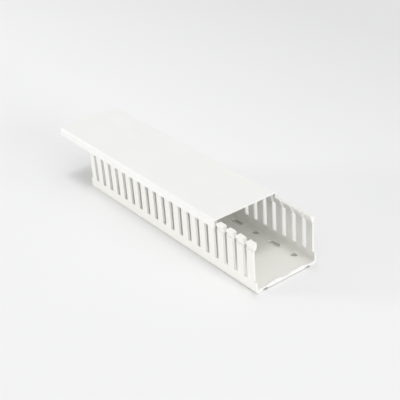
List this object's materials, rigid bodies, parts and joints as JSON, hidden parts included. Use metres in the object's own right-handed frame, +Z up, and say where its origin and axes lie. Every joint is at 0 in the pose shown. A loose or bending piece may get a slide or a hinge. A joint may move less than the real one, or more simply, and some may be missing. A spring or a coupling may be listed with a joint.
{
  "type": "slotted panel trunking with lid",
  "caption": "Open-slotted cable trunking with T-headed fingers along both walls, slotted fixing holes in the floor and a clip-over lid that slides along the run.",
  "frame": {"origin": "bottom centre of the overall box, midway along base and drawn-back lid together, on the feet", "axes": "+X along the run towards the open end, +Y across the run, +Z up out of the floor to the lid"},
  "size_m": [0.3, 0.0684, 0.048],
  "materials": {
    "base_pvc": "satin",
    "lid_pvc": "satin"
  },
  "bodies": {
    "channel": {"base": "base_pvc"},
    "cover": {"lid": "lid_pvc"}
  },
  "joints": [
    {"name": "lid_slide", "type": "slide", "parent": "channel", "child": "cover", "axis": [1, 0, 0], "range_m": [-0.205, 0.05]}
  ]
}
